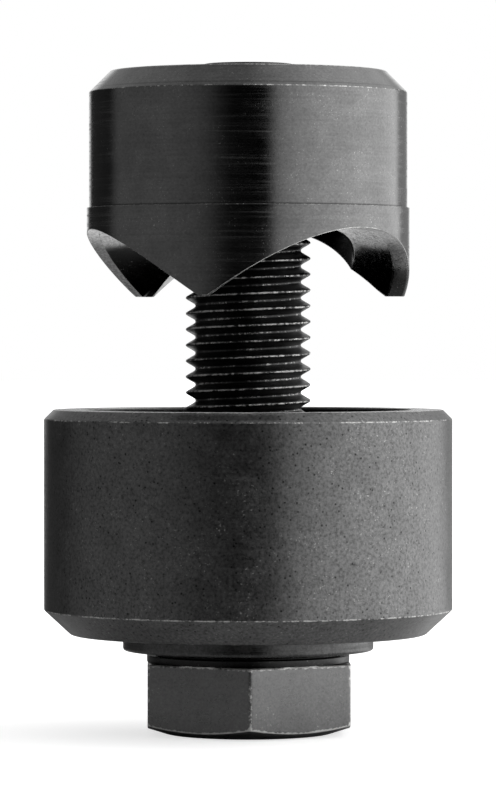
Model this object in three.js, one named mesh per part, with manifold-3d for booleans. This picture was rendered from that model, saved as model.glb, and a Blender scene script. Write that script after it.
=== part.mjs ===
// Knockout punch for sheet metal: a hex-headed draw screw pulls a three-point punch into a cup die,
// with a ball thrust bearing between the head and the die. Millimetres, Z up. The tool stands on the
// screw's head, its axis is Z, and its open side gap lies between the die's rim and the punch's points.

import * as THREE from "three";
import { mergeVertices } from "three/addons/utils/BufferGeometryUtils.js";
import Module from "manifold-3d";

const wasm = await Module();
wasm.setup();

// Clearances
const seatGap = 0.3; // between faces that rest on each other
const turnGap = 0.3; // radial, between a turned piece and the piece round it
const grooveGap = 0.2; // between a ball and its groove
const guideGap = 0.4; // radial, between the shank and the die's floor hole
const cutGap = 0.25; // radial, between the punch's cutting edge and the die's mouth

// Draw screw, from the head's end face up
const hexAcrossFlats = 25.5;
const hexHeight = 9.15;
const hexEndInset = 2.3; // from a flat in to the turned end face
const hexChamferAngle = 19; // degrees, from the end face
const hexTurn = 1; // degrees, first corner from the front
const collarStandOut = 0.1; // the collar's radius over the flats
const collarHeight = 0.85;
const neckStep = 1.1; // from the collar's side in to the neck
const neckHeight = 0.25;
const threadDiameter = 15.8;
const shankStep = 0.1; // the plain shank's radius over the thread's
const shankLength = 19.75; // plain part, from the neck to the thread
const threadLength = 54.8;
const tipChamfer = 2.35;

// Thrust bearing
const ballDiameter = 4.76;
const raceThickness = 2.6;
const raceWidth = 7.6; // radial
const raceRounding = 0.4;
const grooveDepth = 0.68;
const cageThickness = 2;
const cageWall = 0.9; // between two pockets
const cageRim = 0.5; // inside and outside the pockets

// Die
const ringExposure = 2.05; // how far the bearing stands out under the die
const webThickness = 5.5; // floor between bearing and cavity
const cavityDepth = 15.7;
const dieWall = 5.2; // radial, at the mouth
const dieCuttingLand = 5;
const dieRelief = 0.5; // radial, below the cutting land
const cavityFillet = 1;
const rimChamfer = 1.2;
const footChamferWidth = 3.35;
const footChamferHeight = 3.1;
const counterboreChamfer = 0.4;

// Punch, from its points up
const cutDiameter = 40.9;
const pointCount = 3;
const pointTurn = -16; // degrees, first point from the front
const pointLand = 1.2; // flat across each point
const gulletDepth = 8.4;
const crownWall = 7; // radial, from the cutting edge to the recess
const groundWidth = 2.5; // radial, strip inside the cutting edge, ground straight through the gullets
const gulletNarrowing = 0.85; // of the gullets inside that strip, 1 would take them to nothing at the axis
const recessDepth = 10.8;
const landHeight = 11.2;
const landStep = 0.28;
const punchHeight = 28.5;
const topChamfer = 2.7;
const boreChamfer = 0.9;
const tipStandOut = 0.9; // the screw's tip over the punch's top

// Facets round a full turn, and the distance within which points are one
const turnedFacets = 96;
const bearingFacets = 48;
const ballFacets = 12;
const weldDistance = 0.001;

// Sizes that follow from mating pieces
const threadRadius = threadDiameter / 2;
const shankRadius = threadRadius + shankStep;
const neckTop = hexHeight + collarHeight + neckHeight;
const tipTop = neckTop + shankLength + threadLength;
const ballRadius = ballDiameter / 2;
const raceBore = shankRadius + turnGap;
const raceRadius = raceBore + raceWidth;
const pitchRadius = (raceBore + raceRadius) / 2;
const raceSpace = ballDiameter + 2 * (grooveGap - grooveDepth);
const bearingBase = neckTop + seatGap;
const bearingTop = bearingBase + 2 * raceThickness + raceSpace;
const ballLevel = (bearingBase + bearingTop) / 2;
const pocketRadius = ballRadius + turnGap;
const cutRadius = cutDiameter / 2;
const mouthRadius = cutRadius + cutGap;
const dieRadius = mouthRadius + dieWall;
const dieBase = bearingBase + ringExposure;
const dieSeat = bearingTop + seatGap;
const dieFloor = dieSeat + webThickness;
const dieTop = dieFloor + cavityDepth;
const punchTop = tipTop - tipStandOut;
const punchBase = punchTop - punchHeight;
const recessRadius = cutRadius - crownWall;
const creaseRadius = cutRadius - groundWidth;
const threadBore = threadRadius + turnGap;

const blackOxide = { color: 0x34363a, metalness: 0.85 };
const brightSteel = { color: 0x9fa3a8, metalness: 0.95, roughness: 0.25 };

const group = new THREE.Group();

function addPiece(name, geometry, look) {
  const mesh = new THREE.Mesh(geometry, new THREE.MeshStandardMaterial({ ...look, flatShading: true }));
  mesh.name = name;
  group.add(mesh);
  return mesh;
}

function degrees(angle) {
  return THREE.MathUtils.degToRad(angle);
}

// Points along an arc in a profile, both ends included
function arc(x, y, radius, from, to, steps) {
  const points = [];
  for (let i = 0; i <= steps; i++) {
    const angle = degrees(from + ((to - from) * i) / steps);
    points.push([x + radius * Math.cos(angle), y + radius * Math.sin(angle)]);
  }
  return points;
}

// A profile of radius and height, given anticlockwise, turned about Z
function turned(profile, facets, startAngle = 0) {
  const points = profile.map(([radius, height]) => new THREE.Vector2(radius, height));
  const geometry = new THREE.LatheGeometry(points, facets, degrees(startAngle));
  return geometry.rotateX(Math.PI / 2);
}

// The geometry with points closer than weldDistance joined, and the triangles that this closes left out
function welded(geometry) {
  const bare = geometry.clone();
  bare.deleteAttribute("normal");
  bare.deleteAttribute("uv");
  const joined = mergeVertices(bare, weldDistance);
  const corners = joined.index.array;
  const kept = [];
  for (let i = 0; i < corners.length; i += 3) {
    const [a, b, c] = corners.slice(i, i + 3);
    if (a !== b && b !== c && c !== a) {
      kept.push(a, b, c);
    }
  }
  joined.setIndex(kept);
  return joined;
}

// The shape as a solid that can be cut and joined
function solid(geometry) {
  const shape = welded(geometry);
  const vertProperties = new Float32Array(shape.attributes.position.array);
  const triVerts = new Uint32Array(shape.index.array);
  return new wasm.Manifold(new wasm.Mesh({ numProp: 3, vertProperties, triVerts }));
}

function shapeOf(body) {
  const mesh = body.getMesh();
  const geometry = new THREE.BufferGeometry();
  geometry.setAttribute("position", new THREE.BufferAttribute(mesh.vertProperties, 3));
  geometry.setIndex(new THREE.BufferAttribute(mesh.triVerts, 1));
  return welded(geometry);
}

// Hexagon whose end-face corners are turned off by a shallow cone
function hexHead() {
  const cornerRadius = hexAcrossFlats / 2 / Math.cos(Math.PI / 6);
  const endRadius = hexAcrossFlats / 2 - hexEndInset;
  const prism = new THREE.CylinderGeometry(cornerRadius, cornerRadius, hexHeight, 6, 1, false, degrees(hexTurn));
  prism.rotateX(Math.PI / 2).translate(0, 0, hexHeight / 2);
  const overcut = 1; // the cone runs past the corners
  const coneRadius = cornerRadius + overcut;
  const coneRise = (coneRadius - endRadius) * Math.tan(degrees(hexChamferAngle));
  const envelope = turned([
    [0, 0],
    [endRadius, 0],
    [coneRadius, coneRise],
    [coneRadius, hexHeight + overcut],
    [0, hexHeight + overcut],
  ], turnedFacets);
  return solid(prism).intersect(solid(envelope));
}

function drawScrew() {
  const sunk = hexHeight / 2; // the stem starts inside the head
  const collarRadius = hexAcrossFlats / 2 + collarStandOut;
  const neckRadius = collarRadius - neckStep;
  const threadStart = neckTop + shankLength;
  const stem = turned([
    [0, sunk],
    [shankRadius, sunk],
    [shankRadius, hexHeight],
    [collarRadius, hexHeight],
    [collarRadius, hexHeight + collarHeight],
    [neckRadius, hexHeight + collarHeight],
    [neckRadius, neckTop],
    [shankRadius, neckTop],
    [shankRadius, threadStart],
    [threadRadius, threadStart + shankStep],
    [threadRadius, tipTop - tipChamfer],
    [threadRadius - tipChamfer, tipTop],
    [0, tipTop],
  ], turnedFacets);
  return shapeOf(hexHead().add(solid(stem)));
}

// One race lying on its back, its groove for the balls on top
function race() {
  const grooveRadius = ballRadius + grooveGap;
  const halfAngle = THREE.MathUtils.radToDeg(Math.acos((grooveRadius - grooveDepth) / grooveRadius));
  const grooveCentre = raceThickness + grooveRadius - grooveDepth;
  return turned([
    [raceBore, 0],
    ...arc(raceRadius - raceRounding, raceRounding, raceRounding, -90, 0, 3),
    [raceRadius, raceThickness],
    ...arc(pitchRadius, grooveCentre, grooveRadius, -90 + halfAngle, -90 - halfAngle, 6),
    [raceBore, raceThickness],
    [raceBore, 0],
  ], bearingFacets);
}

function polygon(radius, sides) {
  const points = [];
  for (let i = 0; i < sides; i++) {
    const angle = (i / sides) * 2 * Math.PI;
    points.push(new THREE.Vector2(radius * Math.cos(angle), radius * Math.sin(angle)));
  }
  return points;
}

function ballAngle(index, count) {
  return (index / count) * 2 * Math.PI;
}

function ballCage(ballCount) {
  const ring = new THREE.Shape(polygon(pitchRadius + pocketRadius + cageRim, bearingFacets));
  ring.holes.push(new THREE.Path(polygon(pitchRadius - pocketRadius - cageRim, bearingFacets)));
  for (let i = 0; i < ballCount; i++) {
    const angle = ballAngle(i, ballCount);
    const pocket = new THREE.Path();
    pocket.absarc(pitchRadius * Math.cos(angle), pitchRadius * Math.sin(angle), pocketRadius, 0, 2 * Math.PI);
    ring.holes.push(pocket);
  }
  return new THREE.ExtrudeGeometry(ring, { depth: cageThickness, bevelEnabled: false, curveSegments: 8 });
}

function addBearing() {
  const lower = addPiece("bearing_lower_race", race(), { ...blackOxide, roughness: 0.45 });
  lower.position.z = bearingBase;
  const upper = addPiece("bearing_upper_race", race(), brightSteel);
  upper.rotation.x = Math.PI;
  upper.position.z = bearingTop;

  const pocketPitch = 2 * pocketRadius + cageWall;
  const ballCount = Math.floor((2 * Math.PI * pitchRadius) / pocketPitch);
  const cage = addPiece("ball_cage", ballCage(ballCount), { color: 0xb08d3c, metalness: 0.8, roughness: 0.4 });
  cage.position.z = ballLevel - cageThickness / 2;
  for (let i = 0; i < ballCount; i++) {
    const ball = new THREE.SphereGeometry(ballRadius, ballFacets, (ballFacets * 2) / 3);
    const angle = ballAngle(i, ballCount);
    const number = String(i + 1).padStart(2, "0");
    const mesh = addPiece("ball_" + number, ball.rotateX(Math.PI / 2), brightSteel);
    mesh.position.set(pitchRadius * Math.cos(angle), pitchRadius * Math.sin(angle), ballLevel);
  }
}

// Cup: counterbore for the bearing below, floor with a guide hole, cavity for the slugs above
function die() {
  const counterbore = raceRadius + turnGap;
  const floorHole = shankRadius + guideGap;
  const cavityRadius = mouthRadius + dieRelief;
  const landBottom = dieTop - dieCuttingLand;
  return turned([
    [counterbore + counterboreChamfer, dieBase],
    [dieRadius - footChamferWidth, dieBase],
    [dieRadius, dieBase + footChamferHeight],
    [dieRadius, dieTop - rimChamfer],
    [dieRadius - rimChamfer, dieTop],
    [mouthRadius, dieTop],
    [mouthRadius, landBottom],
    [cavityRadius, landBottom - dieRelief],
    ...arc(cavityRadius - cavityFillet, dieFloor + cavityFillet, cavityFillet, 0, -90, 3),
    [floorHole, dieFloor],
    [floorHole, dieSeat],
    [counterbore, dieSeat],
    [counterbore, dieBase + counterboreChamfer],
    [counterbore + counterboreChamfer, dieBase],
  ], turnedFacets);
}

function punchBlank() {
  const bodyRadius = cutRadius - landStep;
  return turned([
    [recessRadius, punchBase],
    [cutRadius, punchBase],
    [cutRadius, punchBase + landHeight],
    [bodyRadius, punchBase + landHeight],
    [bodyRadius, punchTop - topChamfer],
    [bodyRadius - topChamfer, punchTop],
    [threadBore + boreChamfer, punchTop],
    [threadBore, punchTop - boreChamfer],
    [threadBore, punchBase + recessDepth + boreChamfer],
    [threadBore + boreChamfer, punchBase + recessDepth],
    [recessRadius, punchBase + recessDepth],
    [recessRadius, punchBase],
  ], turnedFacets, pointTurn);
}

// Height of a gullet over the points' level, at a radius and an angle from its middle. Seen from the side,
// the cutting edge is an arc from one point's flat to the next, and the ground strip has the same heights.
// Further in, the arc narrows less than the crown does, so two gullets meet in a ridge that rises inwards.
function gulletHeight(radius, offset) {
  const halfSpan = cutRadius * Math.sin(Math.PI / pointCount - pointLand / 2 / cutRadius);
  const arcRadius = (halfSpan ** 2 + gulletDepth ** 2) / (2 * gulletDepth);
  const inward = Math.max(1 - radius / creaseRadius, 0);
  const across = cutRadius * (1 - gulletNarrowing * inward) * Math.sin(offset);
  return gulletDepth - arcRadius + Math.sqrt(arcRadius ** 2 - across ** 2);
}

// Cutter for one gullet, which runs a little past the points on both sides
function gulletCutter(middleAngle) {
  const overcut = 1; // past the crown's faces
  const bottom = -3; // clear of the points
  const inner = recessRadius - overcut;
  const outer = cutRadius + overcut;
  const step = (2 * Math.PI) / turnedFacets;
  const steps = turnedFacets / pointCount / 2 + 2; // to each side
  const positions = [];
  for (let i = -steps; i <= steps; i++) {
    const offset = i * step;
    const angle = degrees(middleAngle) + offset;
    const roof = [outer, creaseRadius, (creaseRadius + inner) / 2, inner];
    const section = [[inner, bottom], [outer, bottom]];
    for (const radius of roof) {
      section.push([radius, gulletHeight(radius, offset)]);
    }
    for (const [radius, level] of section) {
      positions.push(radius * Math.sin(angle), -radius * Math.cos(angle), punchBase + level);
    }
  }
  const sides = 6;
  const end = 2 * steps * sides;
  const indices = [];
  for (let side = 1; side < sides - 1; side++) {
    indices.push(0, side, side + 1, end, end + side + 1, end + side);
  }
  for (let i = 0; i < end; i += sides) {
    for (let side = 0; side < sides; side++) {
      const a = i + side;
      const b = i + ((side + 1) % sides);
      indices.push(a, a + sides, b, b, a + sides, b + sides);
    }
  }
  const geometry = new THREE.BufferGeometry();
  geometry.setAttribute("position", new THREE.Float32BufferAttribute(positions, 3));
  geometry.setIndex(indices);
  return geometry;
}

function punch() {
  let body = solid(punchBlank());
  for (let i = 0; i < pointCount; i++) {
    const middleAngle = pointTurn + ((i + 0.5) * 360) / pointCount;
    body = body.subtract(solid(gulletCutter(middleAngle)));
  }
  return shapeOf(body);
}

addPiece("draw_screw", drawScrew(), { ...blackOxide, roughness: 0.5 });
addBearing();
addPiece("die", die(), { ...blackOxide, roughness: 0.55 });
addPiece("punch", punch(), { ...blackOxide, roughness: 0.3 });

export default group;
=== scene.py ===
"""Knockout punch for sheet metal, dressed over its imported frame: draw screw, thrust bearing, die and punch.

Lengths are metres, +Z runs up the screw, and -Y faces the camera. Angles round the axis start at the front
and grow towards +X.
"""

import math
from contextlib import contextmanager

import bmesh
import bpy
from bpy.props import FloatProperty, FloatVectorProperty, IntProperty, PointerProperty
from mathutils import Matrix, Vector


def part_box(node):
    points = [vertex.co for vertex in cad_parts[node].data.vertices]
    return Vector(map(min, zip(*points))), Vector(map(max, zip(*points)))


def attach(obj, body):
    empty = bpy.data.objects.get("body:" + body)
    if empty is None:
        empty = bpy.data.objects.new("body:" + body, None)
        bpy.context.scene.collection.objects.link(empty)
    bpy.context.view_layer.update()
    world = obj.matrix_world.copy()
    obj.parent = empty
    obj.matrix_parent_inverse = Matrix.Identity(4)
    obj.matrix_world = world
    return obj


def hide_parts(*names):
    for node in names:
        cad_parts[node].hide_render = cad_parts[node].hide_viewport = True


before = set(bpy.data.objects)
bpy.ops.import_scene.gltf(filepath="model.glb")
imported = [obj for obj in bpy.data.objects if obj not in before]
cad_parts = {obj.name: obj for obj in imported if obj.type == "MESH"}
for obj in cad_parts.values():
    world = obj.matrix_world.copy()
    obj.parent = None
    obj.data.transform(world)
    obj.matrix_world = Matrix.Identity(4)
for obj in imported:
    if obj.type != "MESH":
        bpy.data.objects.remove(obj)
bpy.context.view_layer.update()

bl_info = {
    "name": "Knockout Punch",
    "version": (1, 0, 0),
    "blender": (4, 5, 0),
    "location": "View3D > Sidebar > Knockout Punch",
    "description": "Makes a screw-drawn knockout punch and its studio stage",
    "category": "Add Mesh",
}

SCREW_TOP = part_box("draw_screw")[1].z
RING_LOW, RING_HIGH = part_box("bearing_lower_race")
TOP_RACE_LOW, TOP_RACE_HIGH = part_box("bearing_upper_race")
CAGE_LOW, CAGE_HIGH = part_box("ball_cage")
BALL_LOW, BALL_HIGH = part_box("ball_01")
DIE_LOW, DIE_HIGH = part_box("die")
PUNCH_LOW, PUNCH_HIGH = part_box("punch")
BALL_NODES = [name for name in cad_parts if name.startswith("ball_") and name != "ball_cage"]
BALL_RADIUS = (BALL_HIGH.z - BALL_LOW.z) / 2
BALL_LEVEL = (BALL_HIGH.z + BALL_LOW.z) / 2
BALL_RING = (BALL_LOW.x + BALL_HIGH.x) / 2  # radius of the circle that the balls stand on
FULL_TURN = 2 * math.pi

# Roundings of edges that were left as cut, and of edges that were broken
CRISP = 0.0001
EASED = 0.0002
CORNER_STEPS = (0.0, 0.25, 0.5, 0.75, 1.0)  # shares along the arc that rounds a corner
CORNER_POINTS = len(CORNER_STEPS) + 2  # the arc, and a point on either side of it
FLAT_STEPS = 14  # along each flat of the hexagon
TOUCHING = 0.00001  # two places this close count as one

# Values of the wear attribute that paint shade: the lower the value, the darker the metal is painted where
# shade falls
SHADED = -0.6
DARKER_SHADED = -0.8
DARKEST_SHADED = -1.0

# Section of the thread, and its grid
FLANK = math.radians(30)
CREST_ROUNDING = 0.00012
ROOT_ROUNDING = 0.00030
THREAD_COLUMNS = 144  # round the axis
THREAD_ROWS = 14  # in one turn

# The patterns on steel: repeats to the metre, the range that noise seldom leaves, and the colour of pits
LINE_SCALE = 2600.0
GRAIN_SCALE = 3200.0
BLOTCH_SCALE = 260.0
FLECK_SCALE = 4600.0
SCUFF_SCALE = 2000.0
PIT_SCALE = 1500.0
NOISE_LOW, NOISE_HIGH = 0.3, 0.7
PIT_SHADE = 0.12  # of the metal's own colour

WHITE, FLOOR_GREY, BLACK = (1, 1, 1, 1), (0.8, 0.8, 0.8, 1), (0, 0, 0, 1)

# The studio's ceiling: its brightness, what is added towards the back and towards the right, and how far the
# right's share falls towards the back
CEILING, CEILING_BACK, CEILING_RIGHT, CEILING_FALL = 0.2, 0.3, 2.3, -1.15
WALL_TOP, CEILING_EDGE = 0.2, 0.5  # upward parts of the directions between which walls fade into it

# The studio's walls: brightness at angles from the camera's side, which grow towards +X
BRIGHTEST = 2.0
WALLS = [
    (-180, 1.0), (-166, 1.0), (-158, 0.04), (-118, 0.04), (-108, 0.25), (-60, 0.27), (-40, 0.22), (-28, 0.14),
    (-20, 0.05), (-12, 0.01), (14, 0.0), (22, 0.7), (40, 1.15), (60, 1.5), (90, 2.0), (133, 2.0), (141, 0.5),
    (162, 0.3), (170, 1.0), (180, 1.0),
]


def length(name, description, default):
    return FloatProperty(name=name, description=description, default=default, unit="LENGTH", precision=5)


def angle(name, description, degrees):
    return FloatProperty(name=name, description=description, default=math.radians(degrees), subtype="ANGLE")


def amount(name, description, default):
    return FloatProperty(name=name, description=description, default=default, subtype="FACTOR", min=0, max=1)


def colour(name, description, default):
    return FloatVectorProperty(name=name, description=description, default=default, subtype="COLOR",
                               min=0, max=1)


class ScrewSizes(bpy.types.PropertyGroup):
    """Sizes of the hex-headed draw screw."""

    flats: length("Across flats", "Width of the hexagon", 0.0255)
    hex_height: length("Hexagon height", "Height of the hexagon", 0.00915)
    hex_turn: angle("Hexagon turn", "First corner from the front", 1)
    end_inset: length("End inset", "From a flat in to the turned end face", 0.0023)
    end_cone: angle("End cone", "Slope of the cone that turns off the corners", 19)
    collar_radius: length("Collar radius", "Washer face over the hexagon", 0.01285)
    collar_height: length("Collar height", "Thickness of the washer face", 0.00085)
    neck_radius: length("Neck radius", "Step between collar and bearing", 0.01175)
    neck_height: length("Neck height", "Height of the step", 0.00025)
    shank_radius: length("Shank radius", "Plain shank under the thread", 0.008)
    shank_length: length("Shank length", "Plain part from the neck to the thread", 0.01975)
    pitch: length("Thread pitch", "Rise of the thread in one turn", 0.002)
    crest_radius: length("Crest radius", "Outside of the thread", 0.0079)
    root_radius: length("Root radius", "Bottom of the thread", 0.0067)
    crest_flat: length("Crest flat", "Width of the thread's crest", 0.00025)
    thread_level: length("Thread level", "Height of one crest at the front", 0.0497)
    tip_chamfer: length("Tip chamfer", "Chamfer at the end of the thread", 0.00235)


class BearingSizes(bpy.types.PropertyGroup):
    """Sizes of the thrust bearing."""

    bore: length("Bore radius", "Inside of both races", 0.0083)
    groove_depth: length("Groove depth", "Depth of the ball track", 0.00068)
    groove_radius: length("Groove radius", "Radius of the ball track's section", 0.00258)
    pocket_gap: length("Pocket gap", "Between a ball and its pocket", 0.0003)
    cage_rim: length("Cage rim", "Cage outside and inside the pockets", 0.0005)


class DieSizes(bpy.types.PropertyGroup):
    """Sizes of the cup die."""

    mouth_radius: length("Mouth radius", "Cutting bore", 0.0207)
    cavity_radius: length("Cavity radius", "Bore under the cutting land", 0.0212)
    land: length("Cutting land", "Height of the cutting bore", 0.005)
    floor_level: length("Floor level", "Top of the die's floor", 0.02535)
    seat_level: length("Seat level", "Underside of the die's floor", 0.01985)
    hole_radius: length("Floor hole radius", "Guide hole for the shank", 0.00845)
    counterbore: length("Counterbore radius", "Pocket for the bearing", 0.0162)
    rim_chamfer: length("Rim chamfer", "Chamfer outside the rim", 0.0012)
    foot_width: length("Foot chamfer width", "Radial width of the foot chamfer", 0.00335)
    foot_height: length("Foot chamfer height", "Height of the foot chamfer", 0.0031)


class PunchSizes(bpy.types.PropertyGroup):
    """Sizes of the three-point punch."""

    points: IntProperty(name="Points", description="Number of cutting points", default=3, min=2, max=6)
    point_turn: angle("Point turn", "First point from the front", -16)
    point_land: length("Point land", "Flat across each point", 0.0012)
    gullet_depth: length("Gullet depth", "Depth of the arc between two points", 0.0084)
    recess_radius: length("Recess radius", "Hollow inside the crown", 0.01345)
    recess_depth: length("Recess depth", "Depth of the hollow", 0.0108)
    ground_width: length("Ground width", "From cutting edge to where narrowing counts from", 0.0025)
    strip_start: length("Strip start", "From cutting edge to crease where a gullet starts", 0.0012)
    strip_end: length("Strip end", "From cutting edge to crease where a gullet ends", 0.0023)
    narrowing: amount("Narrowing", "Share by which a gullet would be narrower at the axis", 0.85)
    step_level: length("Step level", "Top of the cutting land, from the points", 0.0112)
    step: length("Step", "Radial step above the cutting land", 0.00028)
    top_chamfer: length("Top chamfer", "Chamfer round the top", 0.0027)
    bore_radius: length("Bore radius", "Threaded bore at the thread's bottom", 0.0082)
    bore_chamfer: length("Bore chamfer", "Countersink of the bore", 0.0009)


class Finishes(bpy.types.PropertyGroup):
    """Colours and wear of the metal."""

    punch: colour("Punch oxide", "Black oxide on ground steel", (0.157, 0.157, 0.157))
    die: colour("Die oxide", "Black oxide on turned steel", (0.132, 0.132, 0.132))
    screw: colour("Screw oxide", "Black oxide on the head", (0.15, 0.15, 0.15))
    thread: colour("Thread oxide", "Black oxide on the thread", (0.048, 0.048, 0.048))
    ring: colour("Ring oxide", "Black oxide on the bearing ring", (0.076, 0.076, 0.076))
    bright: colour("Bright steel", "Steel where the oxide has worn off", (0.62, 0.62, 0.61))
    race: colour("Race steel", "Ground bearing steel", (0.56, 0.57, 0.58))
    brass: colour("Cage brass", "Stamped brass", (0.66, 0.47, 0.2))
    wear_and_shade: amount("Edge wear", "How far the edges are worn bright", 0.6)


class StageSizes(bpy.types.PropertyGroup):
    """Camera and lamp."""

    lens: FloatProperty(name="Lens", description="Focal length of the camera", default=209.3, unit="CAMERA")
    distance: length("Camera distance", "From the axis to the camera", 0.59)
    eye: length("Camera height", "Height of the camera", 0.05113)
    aim: length("Aim height", "Height the camera points at", 0.04225)
    aside: length("Aim aside", "How far right of the axis the camera points", -0.00002)
    top: FloatProperty(name="Top light", description="Brightness of the top softbox", default=0.1)


def arithmetic(operation, swapped=False):
    """A method that joins a value to another one, or to a number, by a math node."""
    def joined(self, other):
        pair = (other, self) if swapped else (self, other)
        return self.nodes.math(operation, *pair)
    return joined


class Value:
    """What a node gives, with arithmetic that adds the nodes for it."""

    __add__ = __radd__ = arithmetic("ADD")
    __mul__ = __rmul__ = arithmetic("MULTIPLY")
    __sub__ = arithmetic("SUBTRACT")
    __rsub__ = arithmetic("SUBTRACT", swapped=True)
    __truediv__ = arithmetic("DIVIDE")

    def __init__(self, nodes, socket):
        self.nodes, self.socket = nodes, socket


class Tree:
    """Adds nodes to a node tree, and links or sets what feeds them."""

    def __init__(self, tree):
        self.tree = tree

    def node(self, kind, feeds=None, **settings):
        made = self.tree.nodes.new(kind)
        for key, value in settings.items():
            setattr(made, key, value)
        for socket, value in (feeds or {}).items():
            self.feed(made.inputs[socket], value)
        return made

    def feed(self, socket, value):
        if isinstance(value, Value):
            self.tree.links.new(value.socket, socket)
        else:
            socket.default_value = value

    def value(self, kind, feeds=None, outlet=0, **settings):
        """What a new node gives at one of its outlets."""
        return Value(self, self.node(kind, feeds, **settings).outputs[outlet])

    def math(self, operation, *values):
        return self.value("ShaderNodeMath", dict(enumerate(values)), operation=operation)

    def larger(self, a, b):
        return self.math("MAXIMUM", a, b)

    def vector(self, x, y, z):
        return self.value("ShaderNodeCombineXYZ", {0: x, 1: y, 2: z})

    def apart(self, vector):
        """The three parts of a vector."""
        return [Value(self, part) for part in self.node("ShaderNodeSeparateXYZ", {0: vector}).outputs]

    def scaled(self, vector, factor):
        return self.value("ShaderNodeVectorMath", {0: vector, "Scale": factor}, operation="SCALE")

    def noise(self, place, scale, detail, roughness):
        feeds = {"Vector": place, "Scale": scale, "Detail": detail, "Roughness": roughness}
        return self.value("ShaderNodeTexNoise", feeds)

    def attribute(self, name):
        return self.value("ShaderNodeAttribute", outlet="Fac", attribute_name=name)

    def ramp(self, value, low, high, out_low=0.0, out_high=1.0):
        """value mapped smoothly from low..high to out_low..out_high."""
        feeds = {"Value": value, "From Min": low, "From Max": high, "To Min": out_low, "To Max": out_high}
        return self.value("ShaderNodeMapRange", feeds, interpolation_type="SMOOTHSTEP")

    def mix(self, share, low, high):
        """A colour between low and high."""
        return self.value("ShaderNodeMix", {0: share, 6: low, 7: high}, 2, data_type="RGBA")

    def joined(self, *parts):
        both = self.node("GeometryNodeJoinGeometry")
        for part in parts:
            self.feed(both.inputs[0], part)
        return Value(self, both.outputs[0])

    def on_ring(self, thing, count, radius):
        """The thing at each point of a ring."""
        ring = self.value("GeometryNodeMeshCircle", {"Vertices": count, "Radius": radius})
        return self.value("GeometryNodeInstanceOnPoints", {"Points": ring, "Instance": thing})

    def circle(self, resolution, radius):
        return self.value("GeometryNodeCurvePrimitiveCircle", {"Resolution": resolution, "Radius": radius})

    def lifted(self, geometry, level):
        feeds = {"Geometry": geometry, "Translation": self.vector(0.0, 0.0, level)}
        return self.value("GeometryNodeTransform", feeds)


def tint(values):
    return (*values, 1.0)


# Materials


def new_material(name):
    """A material, its Tree, and the inputs of its shader."""
    material = bpy.data.materials.new(name)
    material.use_nodes = True
    return material, Tree(material.node_tree), material.node_tree.nodes["Principled BSDF"].inputs


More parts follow.
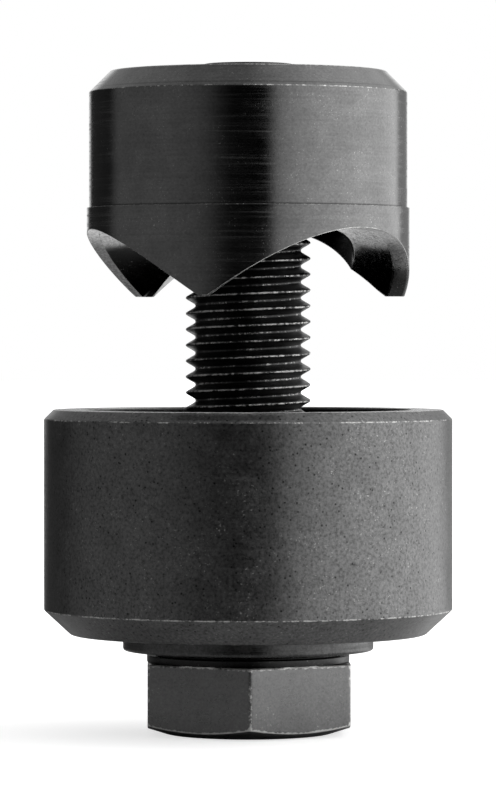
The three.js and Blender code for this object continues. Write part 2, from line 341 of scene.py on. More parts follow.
def steel(name, base, worn, roughness, grain=0.2, lines=0.2, blotch=0.25, flecks=0.0, pits=0.0, wear_and_shade=0.0,
          coarse=1.0, ground_and_sheen=0.0):
    """Oxided or bare steel: blotches, turned lines, fine grain, bright flecks, dark pits and worn edges.

    The attribute wear_and_shade is 1 on edges that rub bright, and below 0 where the metal is painted darker,
    mostly as painted shade in hollows, creases and the gaps under parts. The attribute ground_and_sheen is 1
    where the metal was cut after turning, and elsewhere it is a painted sheen that makes the metal paler; the
    value ground_and_sheen is how much paler that makes it.
    """
    material, nodes, inputs = new_material(name)
    nodes.feed(inputs["Metallic"], 1.0)
    place = nodes.value("ShaderNodeTexCoord", outlet="Object")
    x, y, z = nodes.apart(place)
    radius = nodes.larger(nodes.math("SQRT", x * x + y * y), 1e-5)
    # The lines' noise changes quickly with radius and height and hardly round the axis, as turning leaves it
    feeds = {"Vector": nodes.vector(x / radius, y / radius, radius * LINE_SCALE), "W": z * LINE_SCALE,
             "Scale": 1.0, "Detail": 4.0, "Roughness": 0.7}
    line_noise = nodes.value("ShaderNodeTexNoise", feeds, noise_dimensions="4D")
    fine = nodes.noise(place, GRAIN_SCALE / coarse, 4.0, 0.65)
    broad = nodes.noise(place, BLOTCH_SCALE, 5.0, 0.6)
    shade = 1.0
    for pattern, swing in ((broad, blotch), (fine, grain), (line_noise, lines * 0.5)):
        shade = nodes.ramp(pattern, NOISE_LOW, NOISE_HIGH, 1.0 - swing, 1.0 + swing) * shade
    body = nodes.scaled(tuple(base), shade)
    if pits:
        feeds = {"Vector": place, "Scale": PIT_SCALE / coarse}
        cells = nodes.value("ShaderNodeTexVoronoi", feeds, "Distance")
        dark = nodes.ramp(cells, 0.22, 0.08) * nodes.ramp(broad, 0.62, 0.48)
        dark = nodes.larger(dark, nodes.ramp(fine, 0.40, 0.33, 0.0, 0.3))
        body = nodes.mix(dark * pits, body, tint([value * PIT_SHADE for value in base]))
    bare = 0.0
    if flecks:
        spots = nodes.noise(place, FLECK_SCALE / coarse, 2.0, 0.5)
        bare = nodes.ramp(spots, 0.66, 0.71) * nodes.ramp(broad, 0.42, 0.62) * flecks
    if wear_and_shade:
        edge = nodes.attribute("wear_and_shade")
        rubbed = edge * wear_and_shade + broad * 0.5 + nodes.noise(place, SCUFF_SCALE, 4.0, 0.7) * 0.9 - 0.25
        bare = nodes.larger(nodes.ramp(rubbed, 0.82, 0.98), bare)
        # Below 0 the attribute paints shade: the colour falls to 1.5 % of itself at the darkest.
        body = nodes.scaled(body, nodes.ramp(edge, DARKEST_SHADED, 0.0, 0.015, 1.0))
    rough = nodes.ramp(broad, NOISE_LOW, NOISE_HIGH, roughness * 0.88, roughness * 1.12)
    rough = rough + (fine - 0.5) * (grain * 0.4) + nodes.ramp(line_noise, 0.45, 0.7, -0.1, 0.9) * lines
    if ground_and_sheen:
        # The ground finish makes the metal paler, and so does a painted sheen on the punch's gullet ceilings.
        cut = nodes.attribute("ground_and_sheen")
        body = nodes.scaled(body, cut * nodes.ramp(fine, 0.38, 0.62, 0.75, 1.25) * ground_and_sheen + 1.0)
        rough = rough + cut * 0.25
    if flecks or wear_and_shade:
        body = nodes.mix(bare, body, tint(worn))
        rough = rough + bare * 0.3
    nodes.feed(inputs["Base Color"], body)
    nodes.feed(inputs["Roughness"], rough)
    lined = nodes.value("ShaderNodeBump", {"Height": line_noise, "Strength": lines, "Distance": 0.00002})
    feeds = {"Height": fine, "Strength": grain, "Distance": 0.00004 * coarse, "Normal": lined}
    nodes.feed(inputs["Normal"], nodes.value("ShaderNodeBump", feeds))
    return material


# Meshes


@contextmanager
def edited(mesh):
    """The mesh as a bmesh, which is written back at the end."""
    shape = bmesh.new()
    shape.from_mesh(mesh)
    yield shape
    shape.to_mesh(mesh)
    shape.free()


def finish_mesh(mesh, material):
    """Merges doubles, turns the faces outwards and shades them smooth."""
    with edited(mesh) as shape:
        bmesh.ops.remove_doubles(shape, verts=shape.verts, dist=2e-7)
        bmesh.ops.dissolve_degenerate(shape, dist=1e-8, edges=shape.edges)
        loose = [vertex for vertex in shape.verts if not vertex.link_faces]
        bmesh.ops.delete(shape, geom=loose, context="VERTS")
        bmesh.ops.recalc_face_normals(shape, faces=shape.faces)
        for face in shape.faces:
            face.smooth = True
    mesh.materials.clear()
    mesh.materials.append(material)


def set_values(mesh, name, values):
    """The attribute of that name, with one value for each vertex."""
    mesh.attributes.new(name, "FLOAT", "POINT").data.foreach_set("value", values)


def piece_of(name, mesh, material, body, nodes):
    """A finished piece on its body, in place of its CAD nodes."""
    finish_mesh(mesh, material)
    piece = bpy.data.objects.new(name, mesh)
    bpy.context.scene.collection.objects.link(piece)
    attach(piece, body)
    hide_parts(*nodes)
    return piece


def rounded(corners, closed=True):
    """Points (radius, height, wear) along a profile with corners (radius, height, rounding, wear).

    Each rounded corner gets CORNER_POINTS points whatever its size, so profiles at different angles match.
    """
    points = []
    count = len(corners)
    for i, (x, y, size, wear_and_shade) in enumerate(corners):
        if size == 0 or (not closed and i in (0, count - 1)):
            points.append((x, y, wear_and_shade))
            continue
        corner = Vector((x, y))
        before = Vector(corners[i - 1][:2]) - corner
        after = Vector(corners[(i + 1) % count][:2]) - corner
        reach = min(size, 0.3 * before.length, 0.3 * after.length)
        back, forth = before.normalized() * reach, after.normalized() * reach
        start, end = corner + back, corner + forth
        points.append((*(corner + back * 1.5), min(wear_and_shade, 0.0)))
        for t in CORNER_STEPS:
            spot = start * (1 - t) ** 2 + corner * 2 * t * (1 - t) + end * t ** 2
            points.append((*spot, wear_and_shade * (1.0 if 0 < t < 1 or wear_and_shade < 0 else 0.4)))
        points.append((*(corner + forth * 1.5), min(wear_and_shade, 0.0)))
    return points


def round_mesh(name, angles, profile_at, closed=True):
    """Surface round the axis through the points (radius, height, wear) that profile_at gives at an angle."""
    vertices, wear_and_shade_values, faces = [], [], []
    for turn in angles:
        profile = profile_at(turn)
        count = len(profile)
        for radius, height, wear_and_shade in profile:
            vertices.append((radius * math.sin(turn), -radius * math.cos(turn), height))
            wear_and_shade_values.append(wear_and_shade)
    steps = len(angles)
    for i in range(steps):
        here, there = i * count, (i + 1) % steps * count
        for k in range(count if closed else count - 1):
            m = (k + 1) % count
            faces.append((here + k, there + k, there + m, here + m))
    mesh = bpy.data.meshes.new(name)
    mesh.from_pydata(vertices, [], faces)
    set_values(mesh, "wear_and_shade", wear_and_shade_values)
    return mesh


def smooth(value, low, high):
    """value mapped smoothly from low..high to 0..1."""
    share = max(0.0, min(1.0, (value - low) / (high - low)))
    return share * share * (3 - 2 * share)


def even_angles(count):
    return [FULL_TURN * i / count for i in range(count)]


def hexagon(flats, turn, rounding):
    """(angle, radius, wear) of points round a hexagon with rounded corners, in order."""
    corner_radius = flats / 2 / math.cos(math.pi / 6)
    corners = []
    for i in range(6):
        at = turn + i * math.pi / 3
        corners.append((corner_radius * math.sin(at), -corner_radius * math.cos(at), rounding, 1.0))
    points = []
    outline = rounded(corners)
    for i, point in enumerate(outline):
        following = outline[(i + 1) % len(outline)]
        points.append(Vector(point))
        if (i + 1) % CORNER_POINTS == 0:
            for step in range(1, FLAT_STEPS):
                points.append(Vector(point).lerp(Vector(following), step / FLAT_STEPS))
    return [(math.atan2(p.x, -p.y) % FULL_TURN, math.hypot(p.x, p.y), p.z) for p in points]


def geometry_tree(name, values):
    """A geometry tree with an input for each named value: the Tree, and what each input gives."""
    group = bpy.data.node_groups.new(name, "GeometryNodeTree")
    for label, value in values.items():
        kind = "NodeSocketInt" if isinstance(value, int) else "NodeSocketFloat"
        group.interface.new_socket(name=label, in_out="INPUT", socket_type=kind).default_value = value
    group.interface.new_socket(name="Geometry", in_out="OUTPUT", socket_type="NodeSocketGeometry")
    nodes = Tree(group)
    outlets = nodes.node("NodeGroupInput").outputs
    return nodes, {label: Value(nodes, outlets[label]) for label in values}


def close_tree(nodes, geometry, material):
    """Ends the tree in Realize Instances and Set Material."""
    real = nodes.value("GeometryNodeRealizeInstances", {0: geometry})
    painted = nodes.value("GeometryNodeSetMaterial", {"Geometry": real, "Material": material})
    nodes.node("NodeGroupOutput", {0: painted})


def grown_mesh(name, nodes, values):
    """The plain mesh that the tree makes from the values, which are set by their sockets' identifiers."""
    carrier = bpy.data.objects.new(name, bpy.data.meshes.new(name))
    bpy.context.scene.collection.objects.link(carrier)
    modifier = carrier.modifiers.new(name, "NODES")
    modifier.node_group = nodes.tree
    for socket in nodes.tree.interface.items_tree:
        if socket.in_out == "INPUT":
            modifier[socket.identifier] = values[socket.name]
    graph = bpy.context.evaluated_depsgraph_get()
    mesh = bpy.data.meshes.new_from_object(carrier.evaluated_get(graph))
    bpy.data.objects.remove(carrier)
    return mesh


def thread_tree(name, values, material):
    """Helical thread surface between two levels, its rows laid along the helix.

    Low Radius is where the thread runs out at its lower end, and High Radius its chamfer at the upper end.
    Flare is 1 where the surface widens to High Radius, as in a bore, and 0 where it narrows, as on a screw.
    """
    nodes, given = geometry_tree(name, values)
    pitch, low, high, flare = (given[label] for label in ("Pitch", "Low", "High", "Flare"))
    # Two turns more than the height needs, because the helix starts under the lower level
    turns = nodes.math("CEIL", (high - low) / pitch + 2.0)
    grid = nodes.value("GeometryNodeMeshGrid", {
        "Size X": 1.0, "Size Y": 1.0, "Vertices X": given["Columns"] + 1.0,
        "Vertices Y": turns * given["Rows per Turn"] + 1.0,
    })
    grid_place = nodes.apart(nodes.value("GeometryNodeInputPosition"))
    across = grid_place[0] + 0.5
    along = (grid_place[1] + 0.5) * turns
    # Rows gather where the section bends: along is stretched within each turn by an even wave
    along = along + nodes.math("SINE", along * (2 * FULL_TURN)) * -0.035
    # Whole turns are added before the remainder is taken, so that it is never negative
    phase = nodes.math("MODULO", given["Level"] - low + pitch * 1000.0, pitch)
    start = low + phase - pitch * 2.0
    height = nodes.math("MINIMUM", nodes.larger(start + pitch * (along + across), low), high)
    turn = (height - start) / pitch
    share = nodes.math("FRACT", turn - across + 0.5)
    from_crest = nodes.math("ABSOLUTE", share - 0.5) * pitch
    radius = given["Crest Radius"] - (from_crest - given["Crest Flat"] / 2.0) / math.tan(FLANK)
    radius = nodes.math("SMOOTH_MIN", radius, given["Crest Radius"], CREST_ROUNDING)
    radius = nodes.math("SMOOTH_MAX", radius, given["Root Radius"], ROOT_ROUNDING)
    radius = nodes.larger(radius, given["Low Radius"] - (height - low))
    narrowed = nodes.math("MINIMUM", radius, given["High Radius"] + (high - height))
    flared = nodes.larger(radius, given["High Radius"] - (high - height))
    radius = flared * flare + narrowed * (1.0 - flare)
    around = across * FULL_TURN
    place = nodes.vector(radius * nodes.math("SINE", around), radius * nodes.math("COSINE", around) * -1.0,
                         height)
    wrapped = nodes.value("GeometryNodeSetPosition", {"Geometry": grid, "Position": place})
    merged = nodes.value("GeometryNodeMergeByDistance", {"Geometry": wrapped, "Distance": 5e-7})
    close_tree(nodes, merged, material)
    return nodes


def end_loops(shape):
    """The open edges at the lower and the upper end of a tube, as two lists."""
    open_edges = [edge for edge in shape.edges if edge.is_boundary]
    heights = [edge.verts[0].co.z for edge in open_edges]
    middle = (min(heights) + max(heights)) / 2
    lower = [edge for edge in open_edges if edge.verts[0].co.z < middle]
    return lower, [edge for edge in open_edges if edge not in lower]


def cap(mesh):
    """Puts a flat face over each end of the tube."""
    with edited(mesh) as shape:
        for edges in end_loops(shape):
            bmesh.ops.triangle_fill(shape, edges=edges, use_beauty=True)
            for edge in edges:
                edge.smooth = False


def sleeve(mesh, radius):
    """Puts an outer wall of that radius round the tube, whose ends have matching vertices."""
    with edited(mesh) as shape:
        rings = []
        for edges in end_loops(shape):
            inner = {vertex for edge in edges for vertex in edge.verts}
            inner = sorted(inner, key=lambda vertex: math.atan2(vertex.co.x, vertex.co.y))
            outer = [(*(vertex.co.xy.normalized() * radius), vertex.co.z) for vertex in inner]
            rings += [inner, [shape.verts.new(place) for place in outer]]
        lower, low_wall, upper, high_wall = rings
        for near, far in ((lower, low_wall), (low_wall, high_wall), (high_wall, upper)):
            for k in range(len(near)):
                shape.faces.new((near[k - 1], near[k], far[k], far[k - 1]))


# Pieces


class MakeHead(bpy.types.Operator):
    """Make the screw's hexagon, collar, neck and plain shank"""

    bl_idname = "knockout.make_head"
    bl_label = "Screw head"

    def execute(self, context):
        sizes, looks = context.scene.screw_sizes, context.scene.finishes
        corner_rounding = 0.0004
        rim_wear = 1.1
        least = 0.6  # wear close to the rims
        outline = hexagon(sizes.flats, sizes.hex_turn, corner_rounding)
        start = min(range(len(outline)), key=lambda i: outline[i][0])
        outline = outline[start:] + outline[:start]
        outline_at = {turn: (radius, wear_and_shade) for turn, radius, wear_and_shade in outline}
        end_radius = sizes.flats / 2 - sizes.end_inset
        collar_top = sizes.hex_height + sizes.collar_height
        neck_top = collar_top + sizes.neck_height
        shank_top = neck_top + sizes.shank_length
        sunk = shank_top + 0.0004  # the shank's end stands hidden in the thread's first turn

        def profile_at(turn):
            radius, wear_and_shade = outline_at[turn]
            rise = (radius - end_radius) * math.tan(sizes.end_cone)
            return rounded([
                (0, 0, 0, 0),
                # The end cone is painted dark: painted shade, for the floor's shadow under the head that the
                # cone mirrors.
                (end_radius, 0, 0.0003, -0.75),
                (radius - 0.00008, rise - 0.0001, 0, -0.7),
                (radius, rise, 0, rim_wear),
                (radius, rise + 0.0002, 0, max(least, wear_and_shade)),
                (radius, rise + 0.0005, 0, wear_and_shade * 0.6),
                (radius, sizes.hex_height - 0.0006, 0, wear_and_shade * 0.6),
                (radius, sizes.hex_height - 0.0003, 0, max(least, wear_and_shade)),
                (radius, sizes.hex_height, 0, rim_wear),
                # The collar, neck and foot of the shank are painted dark: painted shade in the narrow gap
                # under the bearing ring.
                (sizes.collar_radius, sizes.hex_height, CRISP, DARKER_SHADED),
                (sizes.collar_radius, collar_top, CRISP, -0.7),
                (sizes.neck_radius, collar_top, CRISP, DARKER_SHADED),
                (sizes.neck_radius, neck_top, CRISP, DARKER_SHADED),
                (sizes.shank_radius, neck_top, 0, -0.5),
                (sizes.shank_radius, shank_top, 0, 0),
                (sizes.root_radius, sunk, 0, 0),
                (0, sunk, 0, 0),
            ], closed=False)

        mesh = round_mesh("screw_head", [turn for turn, radius, wear_and_shade in outline], profile_at, closed=False)
        material = steel("oxide_screw", looks.screw, looks.bright, 0.3, grain=0.12, lines=0.06, blotch=0.08,
                         flecks=0.35, pits=0.2, wear_and_shade=looks.wear_and_shade)
        piece_of("screw_head", mesh, material, "screw", ["draw_screw"])
        return {"FINISHED"}


def make_thread(name, material, sizes, low, high, low_radius, high_radius, clearance=0.0, flare=0.0):
    """Mesh of the thread from low to high, wider by the clearance; thread_tree says what the radii are."""
    values = {
        "Columns": THREAD_COLUMNS, "Rows per Turn": THREAD_ROWS, "Pitch": sizes.pitch,
        "Level": sizes.thread_level, "Crest Radius": sizes.crest_radius + clearance,
        "Root Radius": sizes.root_radius + clearance, "Crest Flat": sizes.crest_flat, "Low": low,
        "High": high, "Low Radius": low_radius, "High Radius": high_radius, "Flare": flare,
    }
    return grown_mesh(name, thread_tree(name, values, material), values)


class MakeThread(bpy.types.Operator):
    """Make the screw's thread"""

    bl_idname = "knockout.make_thread"
    bl_label = "Screw thread"

    def execute(self, context):
        sizes, looks = context.scene.screw_sizes, context.scene.finishes
        low = sizes.hex_height + sizes.collar_height + sizes.neck_height + sizes.shank_length
        material = steel("oxide_thread", looks.thread, looks.bright, 0.38, grain=0.35, lines=0.15, blotch=0.4,
                         flecks=0.3, wear_and_shade=looks.wear_and_shade)
        mesh = make_thread("screw_thread", material, sizes, low, SCREW_TOP, sizes.shank_radius,
                           sizes.crest_radius - sizes.tip_chamfer)
        cap(mesh)
        wear_and_shade_values = []  # most on the crests, where they are worn; less in the roots, as a painted highlight; none on the flanks
        for vertex in mesh.vertices:
            radius = math.hypot(vertex.co.x, vertex.co.y)
            from_crest, from_root = abs(radius - sizes.crest_radius), abs(radius - sizes.root_radius)
            wear_and_shade_values.append(max(0.0, 0.75 - from_crest / 0.0001, 0.6 - from_root / 0.0002))
        set_values(mesh, "wear_and_shade", wear_and_shade_values)
        piece_of("screw_thread", mesh, material, "screw", ["draw_screw"])
        return {"FINISHED"}


def race_mesh(name, sizes, low, high, up):
    """A race that fills the box from low to high, its track in the upper or the lower face."""
    radius = high.x
    middle = (sizes.bore + radius) / 2
    half = math.sqrt(sizes.groove_radius ** 2 - (sizes.groove_radius - sizes.groove_depth) ** 2)
    steps = 8
    track = []
    for i in range(steps + 1):
        across = half - 2 * half * i / steps
        drop = math.sqrt(sizes.groove_radius ** 2 - across ** 2) - (sizes.groove_radius - sizes.groove_depth)
        track.append((middle + across, drop))
    face, back, sign = (high.z, low.z, -1) if up else (low.z, high.z, 1)
    corners = [(sizes.bore, back, EASED, 0.2), (radius, back, 0.0004, 0.6), (radius, face, EASED, 0.6)]
    corners += [(across, face + sign * drop, 0, 0) for across, drop in track]
    profile = rounded(corners + [(sizes.bore, face, EASED, 0.2)])
    return round_mesh(name, even_angles(192), lambda turn: profile)


class MakeBearing(bpy.types.Operator):
    """Make the bearing's two races, its balls and their cage"""

    bl_idname = "knockout.make_bearing"
    bl_label = "Thrust bearing"

    def execute(self, context):
        sizes, looks = context.scene.bearing_sizes, context.scene.finishes
        ring = steel("oxide_ring", looks.ring, looks.bright, 0.3, grain=0.25, lines=0.2, blotch=0.25,
                     flecks=0.2, wear_and_shade=looks.wear_and_shade * 0.6)
        bright = steel("race_steel", looks.race, looks.bright, 0.16, grain=0.06, lines=0.12, blotch=0.06)
        lower = race_mesh("bearing_lower_ring", sizes, RING_LOW, RING_HIGH, True)
        piece_of("bearing_lower_ring", lower, ring, "screw", ["bearing_lower_race"])
        upper = race_mesh("bearing_upper_ring", sizes, TOP_RACE_LOW, TOP_RACE_HIGH, False)
        piece_of("bearing_upper_ring", upper, bright, "upper_race", ["bearing_upper_race"])
        self.make_balls(bright)
        self.make_cage(sizes, looks)
        return {"FINISHED"}

    def make_balls(self, material):
        values = {"Count": len(BALL_NODES), "Ring Radius": BALL_RING, "Ball Radius": BALL_RADIUS,
                  "Level": BALL_LEVEL}
        nodes, given = geometry_tree("ball_ring", values)
        feeds = {"Segments": 32, "Rings": 20, "Radius": given["Ball Radius"]}
        ball = nodes.value("GeometryNodeMeshUVSphere", feeds)
        ring = nodes.on_ring(ball, given["Count"], given["Ring Radius"])
        close_tree(nodes, nodes.lifted(ring, given["Level"]), material)
        mesh = grown_mesh("bearing_balls", nodes, values)
        piece_of("bearing_balls", mesh, material, "cage", BALL_NODES)

    def make_cage(self, sizes, looks):
        material = steel("cage_brass", looks.brass, looks.bright, 0.34, grain=0.2, lines=0.1, blotch=0.15)
        pocket_radius = BALL_RADIUS + sizes.pocket_gap
        values = {"Count": len(BALL_NODES), "Ring Radius": BALL_RING, "Pocket Radius": pocket_radius,
                  "Half Width": pocket_radius + sizes.cage_rim, "Low": CAGE_LOW.z,
                  "Thickness": CAGE_HIGH.z - CAGE_LOW.z}
        nodes, given = geometry_tree("cage_ring", values)
        ring, half = given["Ring Radius"], given["Half Width"]
        outer, inner = nodes.circle(192, ring + half), nodes.circle(192, ring - half)
        pockets = nodes.on_ring(nodes.circle(40, given["Pocket Radius"]), given["Count"], ring)
        pockets = nodes.value("GeometryNodeRealizeInstances", {0: pockets})
        flat = nodes.value("GeometryNodeFillCurve", {"Curve": nodes.joined(outer, inner, pockets)})
        feeds = {"Mesh": flat, "Offset": nodes.vector(0.0, 0.0, given["Thickness"]), "Offset Scale": 1.0,
                 "Individual": False}
        raised = nodes.value("GeometryNodeExtrudeMesh", feeds)
        feeds = {"Geometry": nodes.joined(flat, raised), "Distance": 1e-7}
        merged = nodes.value("GeometryNodeMergeByDistance", feeds)
        close_tree(nodes, nodes.lifted(merged, given["Low"]), material)
        mesh = grown_mesh("bearing_cage", nodes, values)
        piece = piece_of("bearing_cage", mesh, material, "cage", ["ball_cage"])
        piece.data.set_sharp_from_angle(angle=math.radians(40))


class MakeDie(bpy.types.Operator):
    """Make the cup die"""

    bl_idname = "knockout.make_die"
    bl_label = "Die"

    def execute(self, context):
        sizes, looks = context.scene.die_sizes, context.scene.finishes
        base, top, radius = DIE_LOW.z, DIE_HIGH.z, DIE_HIGH.x
        land_bottom = top - sizes.land
        relief = sizes.cavity_radius - sizes.mouth_radius
        chamfer = sizes.rim_chamfer
        darkening_turn = 0.096  # the rim chamfer is painted darker round this angle, to the left of the front

        def profile_at(turn):
            darkening = -0.5 * smooth(math.cos(turn + darkening_turn), 0.945, 0.98)
            return rounded([
                (sizes.counterbore + 0.0004, base, CRISP, 0.5),
                (radius - sizes.foot_width, base, 0.00025, 0.5),
                (radius, base + sizes.foot_height, 0.00016, 0.74),
                (radius, top - chamfer, 0.00016, 0.66),
                *((radius - chamfer * share, top - chamfer * (1 - share), 0, darkening) for share in (0.3, 0.7)),
                (radius - chamfer, top, 0.00012, 0.7),
                (sizes.mouth_radius, top, 0.00016, 1.3),
                # The bore and the cavity are painted dark: painted shade inside the cup.
                (sizes.mouth_radius, top - 0.0004, 0, DARKER_SHADED),
                (sizes.mouth_radius, land_bottom, CRISP, SHADED),
                (sizes.cavity_radius, land_bottom - relief, CRISP, DARKER_SHADED),
                (sizes.cavity_radius, sizes.floor_level, 0.001, SHADED),
                (sizes.hole_radius, sizes.floor_level, EASED, 0.3),
                (sizes.hole_radius, sizes.seat_level, EASED, 0.3),
                (sizes.counterbore, sizes.seat_level, EASED, 0),
                (sizes.counterbore, base + 0.0004, CRISP, 0.3),
            ])

        mesh = round_mesh("die_cup", even_angles(256), profile_at)
        ground_and_sheen = [1.0 if vertex.co.z > top - TOUCHING else 0.0 for vertex in mesh.vertices]
        set_values(mesh, "ground_and_sheen", ground_and_sheen)
        material = steel("oxide_die", looks.die, looks.bright, 0.35, grain=0.3, lines=0.06, blotch=0.1,
                         flecks=0.5, pits=0.9, wear_and_shade=looks.wear_and_shade, coarse=1.25, ground_and_sheen=4.2)
        piece_of("die_cup", mesh, material, "die", ["die"])
        return {"FINISHED"}


class MakePunch(bpy.types.Operator):
    """Make the punch with its scalloped cutting crown and its threaded bore"""

    bl_idname = "knockout.make_punch"
    bl_label = "Punch"

    def execute(self, context):
        sizes, looks = context.scene.punch_sizes, context.scene.finishes
        cut_radius = PUNCH_HIGH.y
        base, top = PUNCH_LOW.z, PUNCH_HIGH.z
        body_radius = cut_radius - sizes.step
        step_low = base + sizes.step_level
        recess_top = base + sizes.recess_depth
        bore, countersink, chamfer = sizes.bore_radius, sizes.bore_chamfer, sizes.top_chamfer
        pitch = FULL_TURN / sizes.points
        half_span = cut_radius * math.sin(pitch / 2 - sizes.point_land / 2 / cut_radius)
        arc_radius = (half_span ** 2 + sizes.gullet_depth ** 2) / (2 * sizes.gullet_depth)
        soft = 0.00003  # rounds the edge where a gullet runs out into a point's flat
        # Share by which a gullet is narrower at the hollow than at the cutting edge
        narrowest = sizes.narrowing * (1 - sizes.recess_radius / (cut_radius - sizes.ground_width))

        def along(turn):
            """Share of the way through a gullet."""
            return (turn - sizes.point_turn) % pitch / pitch

        def crease_at(turn):
            """Radius of the crease at the inner edge of the pale strip."""
            return cut_radius - sizes.strip_start - (sizes.strip_end - sizes.strip_start) * along(turn)

        def gullet_level(radius, turn):
            """Height of the crown's underside: an arc from point to point, and straight through the strip."""
            from_middle = (turn - sizes.point_turn) % pitch - pitch / 2
            crease = crease_at(turn)
            inward = max((crease - radius) / (crease - sizes.recess_radius), 0)
            across = cut_radius * (1 - narrowest * inward) * math.sin(from_middle)
            height = sizes.gullet_depth - arc_radius + math.sqrt(arc_radius ** 2 - across ** 2)
            return base + (height + math.sqrt(height ** 2 + 4 * soft ** 2)) / 2

        def height_share(level):
            """Height between the points and the gullets' tops, as a share."""
            return (level - base) / sizes.gullet_depth

        def lit_share(level, turn):
            """The same, less what the edge of the painted shade lies higher by where a gullet starts."""
            return height_share(level) - 0.14 * (1 - along(turn))

        def profile_at(turn):
            crease = crease_at(turn)
            crease_level = gullet_level(crease, turn)
            recess_level = gullet_level(sizes.recess_radius, turn)
            width = crease - sizes.recess_radius
            inner = [sizes.recess_radius + width * share for share in (0.25, 0.5, 0.75)]
            # The cutting edge is barest where a gullet starts. The gullets' lower half is painted dark as
            # painted shade, and so is the strip low down where a gullet ends.
            edge_wear = 0.95 - 0.5 * smooth(along(turn), 0.45, 0.65)
            painted_shade = DARKEST_SHADED + smooth(lit_share(crease_level, turn), 0.53, 0.7)
            darkening = DARKER_SHADED * smooth(along(turn), 0.5, 0.65) * (1 - smooth(height_share(crease_level), 0.2, 0.7))
            return rounded([
                (cut_radius, gullet_level(cut_radius, turn), 0.00009, edge_wear),
                (cut_radius, step_low, 0.00005, 0.68),
                # The inner corner of the step is painted dark: painted shade in the crease.
                (body_radius, step_low, 0.00005, SHADED),
                (body_radius, step_low + 0.0003, 0, 0),
                (body_radius, top - chamfer, 0.00018, 0.64),
                *((body_radius - chamfer * share, top - chamfer * (1 - share), 0, wear_and_shade)
                  for share, wear_and_shade in ((0.11, 0), (0.16, -0.45), (0.21, 0))),
                (body_radius - chamfer, top, 0.00018, 0.8),
                (bore + countersink, top, 0.00012, 0.6),
                (bore, top - countersink, 0, 0),
                (bore, recess_top + countersink, 0, 0),
                (bore + countersink, recess_top, CRISP, 0.3),
                # The hollow inside the crown is painted darkest: painted shade in the recess.
                (sizes.recess_radius, recess_top, 0.0005, DARKEST_SHADED),
                (sizes.recess_radius, recess_level + 0.0004, 0, DARKEST_SHADED),
                (sizes.recess_radius, recess_level, 0.00012, 0.7),
                *((radius, gullet_level(radius, turn), 0, painted_shade) for radius in inner),
                (crease - 0.0001, gullet_level(crease - 0.0001, turn), 0, painted_shade),
                (crease, crease_level, 0, 1.3 * (1 - along(turn))),
                (crease + 0.00025, crease_level, 0, darkening),
                (cut_radius - 0.0004, gullet_level(cut_radius, turn), 0, darkening),
            ])

        # Angles from a point's middle: close together where its flat runs out into the arcs, then even
        near = [0.0, 0.004, 0.010, 0.016, 0.0200, 0.0221, 0.024, 0.027, 0.033, 0.042]
        steps = 44
        offsets = near + [near[-1] + (pitch / 2 - near[-1]) * i / steps for i in range(1, steps + 1)]
        angles = []
        for i in range(sizes.points):
            middle = sizes.point_turn + i * pitch
            angles += [middle - offset for offset in reversed(offsets[1:-1])]
            angles += [middle + offset for offset in offsets]
        mesh = round_mesh("punch_crown", angles, profile_at)
        ground_and_sheen = []  # palest on the strip where a gullet starts; painted sheen higher up it and on the ceilings above the painted shade
        for vertex in mesh.vertices:
            radius, turn = math.hypot(vertex.co.x, vertex.co.y), math.atan2(vertex.co.x, -vertex.co.y)
            rise = height_share(vertex.co.z)
            if abs(vertex.co.z - gullet_level(radius, turn)) > 0.0001 or radius > cut_radius - 0.00003:
                ground_and_sheen.append(0.0)
            elif radius > crease_at(turn) - TOUCHING:
                ground_and_sheen.append(max(0.1 + 0.8 * (1 - along(turn)) ** 2, 0.6 * smooth(rise, 0.33, 0.48)))
            else:
                ground_and_sheen.append(smooth(lit_share(vertex.co.z, turn), 0.6, 0.8))
        set_values(mesh, "ground_and_sheen", ground_and_sheen)
        material = steel("oxide_punch", looks.punch, looks.bright, 0.16, grain=0.13, lines=0.16, blotch=0.09,
                         flecks=0.4, pits=0.25, wear_and_shade=looks.wear_and_shade, ground_and_sheen=3.5)
        piece_of("punch_crown", mesh, material, "punch", ["punch"])

        material = steel("oxide_bore", looks.thread, looks.bright, 0.4, grain=0.3, lines=0.15, blotch=0.3)
        clearance = 0.0001
        mesh = make_thread("punch_thread", material, context.scene.screw_sizes, recess_top + countersink,
                           top - countersink, bore, bore, clearance, flare=1.0)
        sleeve(mesh, bore + clearance)
        piece_of("punch_thread", mesh, material, "punch", ["punch"])
        return {"FINISHED"}


# Stage


def softbox(name, height, width, brightness):
    """A square lamp of even brightness over the object, which the camera doesn't see."""
    lamp = bpy.data.lights.new(name, "AREA")
    lamp.size = width
    lamp.energy = brightness * math.pi * width ** 2  # gives each bit of the lamp that brightness
    holder = bpy.data.objects.new(name, lamp)
    holder.location = (0, 0, height)
    holder.visible_camera = False
    bpy.context.scene.collection.objects.link(holder)


def studio_level(nodes, x, y):
    """Brightness of the studio's walls by direction round the object."""
    around = nodes.math("ARCTAN2", x, y * -1.0)
    band = nodes.node("ShaderNodeValToRGB", {0: around / FULL_TURN + 0.5})
    ramp = band.color_ramp
    ramp.interpolation = "LINEAR"
    while len(ramp.elements) > 1:
        ramp.elements.remove(ramp.elements[0])
    for i, (degrees, level) in enumerate(WALLS):
        stop = ramp.elements[0] if i == 0 else ramp.elements.new(1.0)
        stop.position = degrees / 360 + 0.5
        stop.color = tint([level / BRIGHTEST] * 3)
    return Value(nodes, band.outputs["Color"]) * BRIGHTEST


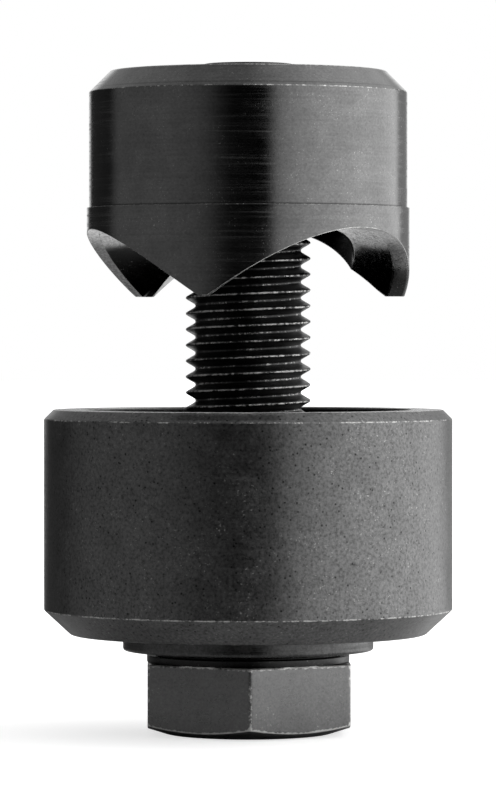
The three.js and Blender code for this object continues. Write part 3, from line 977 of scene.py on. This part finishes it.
class MakeStage(bpy.types.Operator):
    """Make the floor, the world, the softbox and the camera"""

    bl_idname = "knockout.make_stage"
    bl_label = "Stage"

    def execute(self, context):
        sizes = context.scene.stage_sizes
        self.make_floor(context)
        self.make_world(context)
        softbox("softbox_top", 1.6, 3.0, sizes.top)
        camera = bpy.data.objects.new("camera", bpy.data.cameras.new("camera"))
        camera.data.lens = sizes.lens
        camera.data.clip_start = 0.05
        camera.location = (0, -sizes.distance, sizes.eye)
        aim = Vector((sizes.aside, 0, sizes.aim))
        camera.rotation_euler = (aim - camera.location).to_track_quat("-Z", "Y").to_euler()
        context.scene.collection.objects.link(camera)
        context.scene.camera = camera
        context.scene.view_settings.view_transform = "Standard"
        return {"FINISHED"}

    def make_floor(self, context):
        """A pale floor that turns white further out, and in mirrors turns into the studio's walls."""
        mesh = bpy.data.meshes.new("floor")
        reach = 4.0
        mesh.from_pydata([(-reach, -reach, 0), (reach, -reach, 0), (reach, reach, 0), (-reach, reach, 0)], [],
                         [(0, 1, 2, 3)])
        floor = bpy.data.objects.new("floor", mesh)
        context.scene.collection.objects.link(floor)
        material, nodes, inputs = new_material("floor_white")
        nodes.feed(inputs["Roughness"], 0.9)
        place = nodes.value("ShaderNodeTexCoord", outlet="Object")
        x, y = nodes.apart(place)[:2]
        away = nodes.value("ShaderNodeVectorMath", {0: place}, "Value", operation="LENGTH")
        far = nodes.ramp(away, 0.02, 0.09) * nodes.value("ShaderNodeLightPath", outlet="Is Glossy Ray")
        seen = nodes.value("ShaderNodeLightPath", outlet="Is Camera Ray")
        glow = nodes.ramp(away, 0.02, 0.3, 0.68, 1.0) * seen + far * studio_level(nodes, x, y)
        nodes.feed(inputs["Base Color"], nodes.mix(far, FLOOR_GREY, BLACK))
        nodes.feed(inputs["Emission Color"], WHITE)
        nodes.feed(inputs["Emission Strength"], glow)
        mesh.materials.append(material)

    def make_world(self, context):
        """Walls, and a ceiling that brightens to the back and most to the right. The camera sees white."""
        world = bpy.data.worlds.new("studio")
        context.scene.world = world
        world.use_nodes = True
        nodes = Tree(world.node_tree)
        background = world.node_tree.nodes["Background"]
        x, y, z = nodes.apart(nodes.value("ShaderNodeTexCoord", outlet="Generated"))
        right, back = nodes.larger(x, 0.0), nodes.larger(y, 0.0)
        ceiling = back * CEILING_BACK + CEILING + right * (back * CEILING_FALL + CEILING_RIGHT)
        share = nodes.ramp(z, WALL_TOP, CEILING_EDGE)
        level = studio_level(nodes, x, y) * (1.0 - share) + ceiling * share
        seen = nodes.value("ShaderNodeLightPath", outlet="Is Camera Ray")
        nodes.feed(background.inputs["Color"], WHITE)
        nodes.feed(background.inputs["Strength"], nodes.larger(level, seen))


STEPS = (MakeHead, MakeThread, MakeBearing, MakeDie, MakePunch, MakeStage)


class KnockoutPanel(bpy.types.Panel):
    """Lists the steps that make the knockout punch and its stage"""

    bl_idname = "VIEW3D_PT_knockout_punch"
    bl_label = "Knockout Punch"
    bl_space_type = "VIEW_3D"
    bl_region_type = "UI"
    bl_category = "Knockout Punch"

    def draw(self, context):
        for step in STEPS:
            self.layout.operator(step.bl_idname)


GROUPS = {
    "screw_sizes": ScrewSizes, "bearing_sizes": BearingSizes, "die_sizes": DieSizes,
    "punch_sizes": PunchSizes, "finishes": Finishes, "stage_sizes": StageSizes,
}


def register():
    for kind in (*GROUPS.values(), *STEPS, KnockoutPanel):
        bpy.utils.register_class(kind)
    for name, kind in GROUPS.items():
        setattr(bpy.types.Scene, name, PointerProperty(type=kind))


def unregister():
    for name in GROUPS:
        delattr(bpy.types.Scene, name)
    for kind in reversed((*GROUPS.values(), *STEPS, KnockoutPanel)):
        bpy.utils.unregister_class(kind)


def main():
    register()
    knockout = bpy.ops.knockout
    for step in (knockout.make_head, knockout.make_thread, knockout.make_bearing, knockout.make_die,
                 knockout.make_punch, knockout.make_stage):
        step()


if __name__ == "__main__":
    main()
